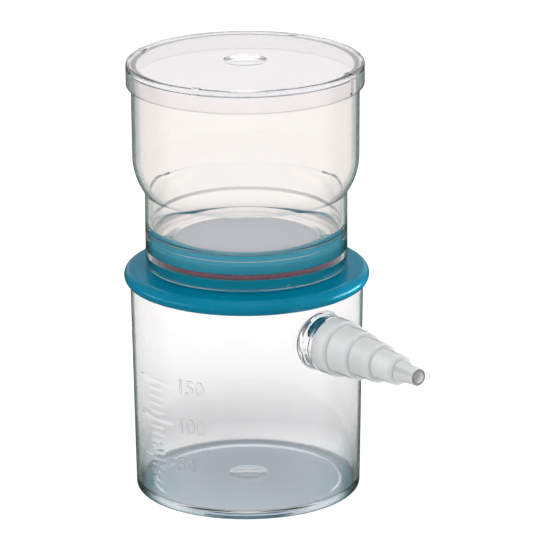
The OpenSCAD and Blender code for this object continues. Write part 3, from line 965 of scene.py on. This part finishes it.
class FILTRATION_OT_collar(bpy.types.Operator):
    """Builds the teal base collar with its plug, groove, ribbed dish and drain spout"""
    bl_idname = "filtration.collar"
    bl_label = "Base collar"

    def execute(self, context):
        collar, z = settings("collar"), plug_heights()
        body = turned("collar_ring", collar_section(), segments=256)
        looks = settings("finishes")
        finish = teal_plastic("teal_plastic", looks.teal, looks.collar_gloss)
        dress(body, finish, "base", "teal_plastic", "base_collar")
        rim, above_plate = collar.radius - 2.5 * MM, z["plate"] + 0.3 * MM
        paint(body, teal_plastic("teal_rim", looks.teal, looks.rim_gloss),
              lambda middle, normal: math.hypot(middle.x, middle.y) > rim and normal.z < 0.9)
        # The plug above the plate is painted lighter, paler towards its top: painted light.
        paint(body, teal_plastic("teal_clamped", looks.clamped, looks.clamped_gloss,
                                 (z["ring"], z["top"], looks.clamped_top)),
              lambda middle, normal: middle.z > above_plate)
        dress(self.ribs(collar, z["dish"]), finish, "base", "teal_plastic")
        return {"FINISHED"}

    def ribs(self, collar, floor):
        """The ribs that stand on the dish's floor."""
        dish = reach("membrane_support", 1, 0) + collar.well_clear - collar.dish_seat
        middle, length = (collar.spout_radius + dish) / 2, dish - collar.spout_radius
        soup = bmesh.new()
        for i in range(collar.ribs):
            box = bmesh.ops.create_cube(soup, size=1.0)["verts"]
            place = (Matrix.Rotation(TURN * i / collar.ribs, 4, "Z")
                     @ Matrix.Translation((middle, 0, floor + collar.dish_depth / 2))
                     @ Matrix.Diagonal((length, collar.rib_width, collar.dish_depth, 1)))
            bmesh.ops.transform(soup, matrix=place, verts=box)
        bmesh.ops.bevel(soup, geom=soup.edges[:], offset=0.12 * MM, segments=2, affect="EDGES")
        return finished(mesh_of(soup, "collar_ribs"), "collar_ribs")


class FILTRATION_OT_membrane(bpy.types.Operator):
    """Finishes the membrane and the support plate under it"""
    bl_idname = "filtration.membrane"
    bl_label = "Membrane and support plate"

    def execute(self, context):
        looks = settings("finishes")
        redress_node("membrane", matt_film("membrane_film", looks.membrane,
                                         grain=1800.0, depth=0.04 * MM))
        redress_node("membrane_support", matt_film("support_white", looks.support,
                                                   grain=700.0, depth=0.1 * MM))
        return {"FINISHED"}


class FILTRATION_OT_chamber_seal(bpy.types.Operator):
    """Builds the O-ring on the collar's plug"""
    bl_idname = "filtration.chamber_seal"
    bl_label = "O-ring"

    def execute(self, context):
        cord = ring_radius()
        centre = reach("chamber_seal", 1, 0) - cord
        height = plug_heights()["ring"]
        section = arc(centre, height, cord, 0, 360, 40)[:-1]
        dress(turned("chamber_seal_ring", section, segments=256),
              rubber("ring_rubber", settings("finishes").ring), "base", "red_rubber", "chamber_seal")
        return {"FINISHED"}


# ---- Upper chamber and lid ----

def chamber_section():
    """The chamber's section, with how far its points at the ledge and neck are pressed home."""
    chamber = settings("chamber")
    low, rim = reach("upper_chamber", 0, 2), reach("upper_chamber", 1, 2)
    plug_top = reach("membrane", 1, 2)
    neck_out = chamber.neck_bore + chamber.neck_wall
    outer = neck_out + chamber.shoulder_step
    mouth_out = outer + chamber.flare / 2
    centre = outer - chamber.shoulder_radius
    outside, step = chamber.shoulder_radius, chamber.shoulder_step
    rise = math.sqrt(step * (2 * outside - step))
    shoulder = low + chamber.neck_height + rise
    step_in = step + chamber.neck_wall - chamber.wall
    inside = (step_in ** 2 + rise ** 2) / (2 * step_in)
    centre_in = outer - chamber.wall - inside
    turn, turn_in = math.degrees(math.asin(rise / outside)), math.degrees(math.asin(rise / inside))
    bore = reach("membrane", 1, 0) - chamber.ledge_grip
    lean = math.atan((chamber.ledge_height - chamber.ledge_lip) / (chamber.neck_bore - bore))
    slope, rounding = math.degrees(lean), chamber.ledge_fillet
    fillet = plug_top + chamber.ledge_height + rounding * (1 - math.sin(lean)) / math.cos(lean)
    soft, mouth = chamber.rim_round, mouth_out - chamber.wall
    section = arc(neck_out - soft, low + soft, soft, -90, 0)
    section += arc(centre, shoulder, outside, -turn, 0, 24)
    section += arc(mouth_out - soft, rim - soft, soft, 0, 90)
    section += arc(mouth + soft, rim - soft, soft, 90, 180)
    section += arc(centre_in, shoulder + chamber.crease_lift, inside, 0, -turn_in, 24)
    section.append((chamber.neck_bore, fillet + chamber.bead))
    section += arc(chamber.neck_bore - rounding, fillet, rounding, 0, slope - 90, 24)
    lip, bed, corner = 0.08 * MM, plug_top + AIR, 0.2 * MM
    ring, cord, gap = plug_heights()["ring"], ring_radius(), 0.1 * MM
    section += arc(bore + lip, plug_top + chamber.ledge_lip - lip, lip, 90 + slope, 180, 4)
    under = len(section)
    section += arc(bore + lip, bed + lip, lip, 180, 270, 4)
    section.append((chamber.neck_bore - corner, bed))
    under = range(under, len(section))
    beside = {len(section) - 1, len(section), len(section) + 1, len(section) + 4, len(section) + 5}
    section += [(chamber.neck_bore, z) for z in (
        bed - corner, ring + cord + 2 * gap, ring + cord + gap,
        ring - cord - gap, ring - cord - 2 * gap, low + 2 * soft)]
    section += arc(chamber.neck_bore + soft, low + soft, soft, 180, 270)
    play = chamber.neck_bore - settings("collar").plug_radius + WETTING

    def shift(point, angle):
        """Lets the socket touch the plug over the part that is pressed home."""
        off = abs(turn_from(chamber.pressed, angle))
        return (-play if point in beside and off < chamber.side_contact else 0.0,
                -(AIR + WETTING) if point in under and off < chamber.ledge_contact else 0.0)

    return section, shift


class FILTRATION_OT_chamber(bpy.types.Operator):
    """Builds the clear upper chamber with its shoulder, neck and clamping ledge"""
    bl_idname = "filtration.chamber"
    bl_label = "Upper chamber"

    def execute(self, context):
        section, shift = chamber_section()
        shell = turned("chamber_shell", section, shift=shift, segments=256)
        looks = settings("finishes")
        skins = (outer_skin("clear_chamber", looks.chamber, looks.near_edge),
                 inner_skin("clear_chamber_inside", looks.chamber, neck=True),
                 inner_skin("clear_chamber_level", looks.chamber))
        dress_shell(shell, skins, "chamber", "chamber_plastic", "upper_chamber")
        chamber = settings("chamber")
        bead = reach("membrane", 1, 2) + chamber.ledge_height + chamber.ledge_fillet
        low, bore = bead - 1.2 * MM, chamber.neck_bore - 0.01 * MM
        # A band of the inner skin over the fillet is painted dark: painted shade.
        paint(shell, bead_skin("clear_bead", looks.chamber),
              lambda middle, normal: faces_in(middle, normal)
              and low < middle.z < bead + chamber.bead
              and math.hypot(middle.x, middle.y) > bore)
        return {"FINISHED"}


def lid_solid():
    """The lid. Its vent pads and locating ribs are raised from its own surface."""
    lid, chamber = settings("lid"), settings("chamber")
    top, skirt = reach("lid", 1, 2), reach("lid", 0, 2)
    under, inner = top - lid.plate, lid.radius - lid.wall
    mouth = (chamber.neck_bore + chamber.neck_wall + chamber.shoulder_step
             + chamber.flare / 2 - chamber.wall)
    lip = 0.1 * MM
    section = [(0, under), (mouth - lip, under), (mouth, under), (inner - lip, under),
               (inner, under - lip), (inner, skirt + lid.edge_round + lip),
               (inner, skirt + lid.edge_round)]
    moved = {2: (0.0, -lid.pad), 3: (0.0, -lid.pad), 4: (-lid.rib, 0.0), 5: (-lid.rib, 0.0)}
    section += arc(inner + lid.edge_round, skirt + lid.edge_round, lid.edge_round, 180, 270, 5)[1:]
    section += arc(lid.radius - lid.edge_round, skirt + lid.edge_round, lid.edge_round, -90, 0, 5)
    section += arc(lid.radius - lid.round, top - lid.round, lid.round, 0, 90, 8)
    section.append((lid.dimple_radius + lip, top))
    section += dimple_section(lid.dimple_radius, lid.dimple_depth, top)
    half = lid.pad_width / 2 / inner
    middles = [lid.pad_angle + TURN * i / lid.pads for i in range(lid.pads)]

    def shift(point, angle):
        """Moves the points of the pads and ribs."""
        there = point in moved and any(abs(turn_from(m, angle)) < half for m in middles)
        return moved[point] if there else (0.0, 0.0)

    return turned("lid_shell", section, shift=shift, segments=FINE)


class FILTRATION_OT_lid(bpy.types.Operator):
    """Builds the clear lid with its gate dimple, vent pads and locating ribs"""
    bl_idname = "filtration.lid"
    bl_label = "Lid"

    def execute(self, context):
        shell = lid_solid()
        looks = settings("finishes")
        skins = (outer_skin("clear_lid", looks.lid, looks.near_edge),
                 inner_skin("clear_lid_inside", looks.lid), inner_skin("clear_lid_level", looks.lid))
        dress_shell(shell, skins, "lid", "lid_plastic", "lid")
        # The lid's dimple is painted dark on its near slope with the bead tint: painted shade.
        paint(shell, dimple_skin("lid_dimple", looks.bead, start=0.76, end=0.9),
              in_dimple(settings("lid").dimple_radius, reach("lid", 1, 2)))
        return {"FINISHED"}


# ---- Hose adapter ----

def adapter_section():
    """The adapter from its stem in the socket, along +Z, to the nozzle's tip."""
    a, port = settings("adapter"), settings("port")
    stem = port.mouth - port.socket_depth + a.stem_gap
    step1 = port.mouth + a.rim
    ends = [step1 + a.step * i for i in range(5)]
    wide_end = ends[2] - a.wide_stop
    edge, root = a.chamfer, 0.25 * MM
    points = [(a.wide_bore, stem), (a.stem_radius, stem), (a.stem_radius, port.mouth),
              (a.rim_radius, port.mouth), (a.rim_radius, ends[0])]
    radii = [0.3 * MM, edge / 2, 0.1 * MM, 0.5 * MM, edge]
    for i, radius in enumerate((a.step1_radius, a.step2_radius, a.step3_radius)):
        points += [(radius, ends[i]), (radius, ends[i + 1])]
        radii += [root, edge]
    points += [(a.nozzle_radius, ends[3]), (a.tip_radius, ends[4]), (a.narrow_bore, ends[4]),
               (a.narrow_bore, wide_end + a.bore_cone), (a.wide_bore, wide_end)]
    radii += [root, 0.4 * MM, 0.3 * MM, 0, 0]
    return rounded(points, radii, 5)


class FILTRATION_OT_adapter(bpy.types.Operator):
    """Builds the stepped hose adapter and finishes the fibre plug in it"""
    bl_idname = "filtration.adapter"
    bl_label = "Hose adapter"

    def execute(self, context):
        body = turned("hose_adapter_body", adapter_section(), segments=128)
        along_port(body, settings("port").axis_height)
        looks = settings("finishes")
        dress(body, adapter_plastic("adapter_white", looks.adapter, looks.adapter_rim),
              "adapter", "adapter_white", "hose_adapter")
        # The nozzle's end, but for its bore, is painted dark grey: painted shade.
        tip, axis = reach("hose_adapter", 1, 0) - MM, settings("port").axis_height
        bore = settings("adapter").narrow_bore + 0.1 * MM
        paint(body, adapter_plastic("adapter_tip", looks.adapter_tip, looks.adapter_tip),
              lambda middle, normal: middle.x > tip and normal.x > -0.2
              and math.hypot(middle.y, middle.z - axis) > bore)
        redress_node("vent_plug", matt_film("vent_fibre", looks.fibre,
                                           grain=2600.0, depth=0.3 * MM))
        return {"FINISHED"}


# ---- Stage ----

FLOOR_RADIUS = 6.0
# Round patches of sky across from the camera: height above the horizon, radius where the patch
# ends and radius within which it is full, in degrees.
BACKDROP = (20, 38, 22)
SOFTBOX = (46, 20, 14)
CARD_TINT = (0.4, 0.95, 1.0)
BOUNCES = 24  # enough for light that goes through all the clear walls


def direction(azimuth, elevation):
    """The unit vector to a direction round the object and a height above the horizon."""
    across = math.cos(elevation)
    return Vector((math.sin(azimuth) * across, -math.cos(azimuth) * across, math.sin(elevation)))


def add_lamp(name, azimuth, elevation, distance, width, length, power, tint=WHITE, height=0.07,
             aim=0.07):
    """A soft lamp round a point of the axis, turned to another; its direction is in degrees."""
    lamp = bpy.data.lights.new(name, "AREA")
    lamp.shape, lamp.size, lamp.size_y = "RECTANGLE", width, length
    lamp.energy, lamp.color = power, tint
    place = direction(math.radians(azimuth), math.radians(elevation)) * distance
    place.z += height
    holder = in_scene(name, lamp)
    holder.location = place
    holder.rotation_euler = (Vector((0, 0, aim)) - place).to_track_quat("-Z", "Y").to_euler()
    return holder


def by_ray(tree, light, mirror, through, seen):
    """A number for each kind of ray: one that lights the object, one that it mirrors, one seen
    through clear plastic and one seen directly."""
    result = light
    for kind, value in (("Is Glossy Ray", mirror), ("Is Transmission Ray", through),
                        ("Is Camera Ray", seen)):
        result = add_node(tree, "Mix", {0: add_node(tree, "LightPath", {}, kind),
                                        2: result, 3: value})
    return result


def make_floor():
    """The pale paper floor. Through clear plastic it is brightened by how far from the axis it is,
    least under the foot and beside it: a painted shadow of the object.
    """
    soup = bmesh.new()
    bmesh.ops.create_circle(soup, cap_ends=True, radius=FLOOR_RADIUS, segments=64,
                            matrix=Matrix.Translation((0, 0, -AIR)))
    floor = in_scene("floor", mesh_of(soup, "floor"))
    material, tree, shader = new_material("floor_paper")
    stage, rgb = settings("stage"), settings("finishes").floor
    foot, rim = settings("jar").foot_radius, stage.shade
    # A painted shadow: the floor through clear plastic gets no glow under the foot and less beside the
    # object.
    stops = ((foot, 0.0), (foot + 0.5 * MM, stage.floor_near), (foot + 10 * MM, stage.floor_near),
             (1.7 * foot, stage.floor_beside), (2.1 * foot, stage.floor_beside),
             (3.5 * foot, (stage.floor_beside + 2 * stage.floor_far) / 3), (rim, stage.floor_far))
    away = add_node(tree, "VectorMath", {0: coordinate(tree, "Object")}, "Value",
                    operation="LENGTH")
    glow = ramp(tree, mapped(tree, away, 0.0, rim),
                [(radius / rim, (strength,) * 3) for radius, strength in stops])
    paper = shades(tree, noise(tree, scale=12.0), scaled(rgb, 0.99), rgb)
    dim = by_ray(tree, 1.0, stage.mirrored_floor, 1.0, 1.0)
    feed(tree, shader, {
        "Base Color": add_node(tree, "VectorMath", {0: paper, "Scale": dim}, operation="SCALE"),
        "Roughness": 0.9, "Specular IOR Level": 0.0, "Emission Color": (1, 1, 1, 1),
        "Emission Strength": by_ray(tree, 0.0, 0.0, glow, stage.floor_glow),
    })
    floor.data.materials.append(material)


def sky_patch(tree, patch, low, high):
    """Low over most of the sky and high within a patch."""
    elevation, edge, full = (math.radians(angle) for angle in patch)
    middle = direction(settings("stage").azimuth + math.pi, elevation)
    near = add_node(tree, "VectorMath", {0: coordinate(tree, "Generated"), 1: middle}, "Value",
                    operation="DOT_PRODUCT")
    return mapped(tree, near, math.cos(edge), math.cos(full), low, high)


def make_sky():
    """An even white sky, which the object mirrors as a dim studio, a backdrop and a softbox."""
    stage = settings("stage")
    world = bpy.data.worlds.new("studio")
    bpy.context.scene.world = world
    world.use_nodes = True
    tree = world.node_tree
    mirrored = add_node(tree, "Math", {0: sky_patch(tree, BACKDROP, stage.mirrored, stage.backdrop),
                                       1: sky_patch(tree, SOFTBOX, 0.0, stage.softbox)})
    feed(tree, tree.nodes["Background"], {
        "Color": (1, 1, 1, 1), "Strength": by_ray(tree, stage.sky, mirrored, 1.0, 1.0),
    })


def make_camera():
    stage = settings("stage")
    lens = bpy.data.cameras.new("camera")
    lens.sensor_width, lens.lens = 36.0, stage.lens
    lens.clip_start, lens.clip_end = 0.05, 40.0
    camera = in_scene("camera", lens)
    on_axis = Vector((0, 0, stage.target_height))
    right = Vector((math.cos(stage.azimuth), math.sin(stage.azimuth), 0))
    camera.location = on_axis + direction(stage.azimuth, stage.elevation) * stage.distance
    aim = on_axis + right * stage.target_side
    view = (aim - camera.location).to_track_quat("-Z", "Y").to_matrix().to_4x4()
    camera.rotation_euler = (view @ Matrix.Rotation(-stage.roll, 4, "Z")).to_euler()
    bpy.context.scene.camera = camera


def group_of(name, *pieces):
    """A collection that a lamp's light is linked to."""
    group = bpy.data.collections.new(name)
    for piece in pieces:
        group.objects.link(bpy.data.objects[piece])
    return group


class FILTRATION_OT_stage(bpy.types.Operator):
    """Builds the pale floor, the sky, the soft lamps and the camera"""
    bl_idname = "filtration.stage"
    bl_label = "Stage"

    def execute(self, context):
        make_floor()
        make_sky()
        key = add_lamp("key_lamp", 60, 58, distance=1.3, width=1.1, length=1.1, power=9.0)
        key.light_linking.blocker_collection = group_of(
            "casts_shadows", "collar_ring", "collar_ribs", "chamber_seal_ring", "hose_adapter_body")
        side = add_lamp("right_lamp", 112, 20, distance=1.2, width=0.4, length=0.6, power=1.5)
        for lamp in (key, side):
            lamp.visible_glossy = lamp.visible_transmission = False
        lit = group_of("collar_only", "collar_ring")
        for name, azimuth, width, power in (("right_card", 153, 0.2, 0.55),
                                            ("left_card", -25, 0.3, 0.22)):
            card = add_lamp(name, azimuth, 0, distance=0.27, width=width, length=0.05,
                            power=power, tint=CARD_TINT, height=0.028, aim=0.06)
            card.light_linking.receiver_collection = lit
        make_camera()
        context.scene.view_settings.view_transform = "Standard"
        for kind in ("max", "transmission", "glossy"):
            setattr(context.scene.cycles, kind + "_bounces", BOUNCES)
        return {"FINISHED"}


class FILTRATION_PT_panel(bpy.types.Panel):
    """Lists the pieces that can be built, and the sizes and colours they take"""
    bl_idname = "FILTRATION_PT_panel"
    bl_label = "Vacuum filtration unit"
    bl_space_type = "VIEW_3D"
    bl_region_type = "UI"
    bl_category = "Filtration"

    def draw(self, context):
        for operator in OPERATORS:
            self.layout.operator(operator.bl_idname)
        for name, group in GROUPS.items():
            box = self.layout.box()
            box.label(text=name.capitalize())
            for field in group.__annotations__:
                box.prop(settings(name), field)


OPERATORS = (
    FILTRATION_OT_receiver_jar, FILTRATION_OT_numbers, FILTRATION_OT_collar,
    FILTRATION_OT_membrane, FILTRATION_OT_chamber_seal, FILTRATION_OT_chamber,
    FILTRATION_OT_lid, FILTRATION_OT_adapter, FILTRATION_OT_stage,
)
CLASSES = (*GROUPS.values(), *OPERATORS, FILTRATION_PT_panel)


def register():
    for cls in CLASSES:
        bpy.utils.register_class(cls)
    for name, group in GROUPS.items():
        setattr(bpy.types.Scene, "filtration_" + name, PointerProperty(type=group))


def unregister():
    for name in GROUPS:
        delattr(bpy.types.Scene, "filtration_" + name)
    for cls in reversed(CLASSES):
        bpy.utils.unregister_class(cls)


def main():
    register()
    for operator in OPERATORS:
        family, name = operator.bl_idname.split(".")
        getattr(getattr(bpy.ops, family), name)()


if __name__ == "__main__":
    main()
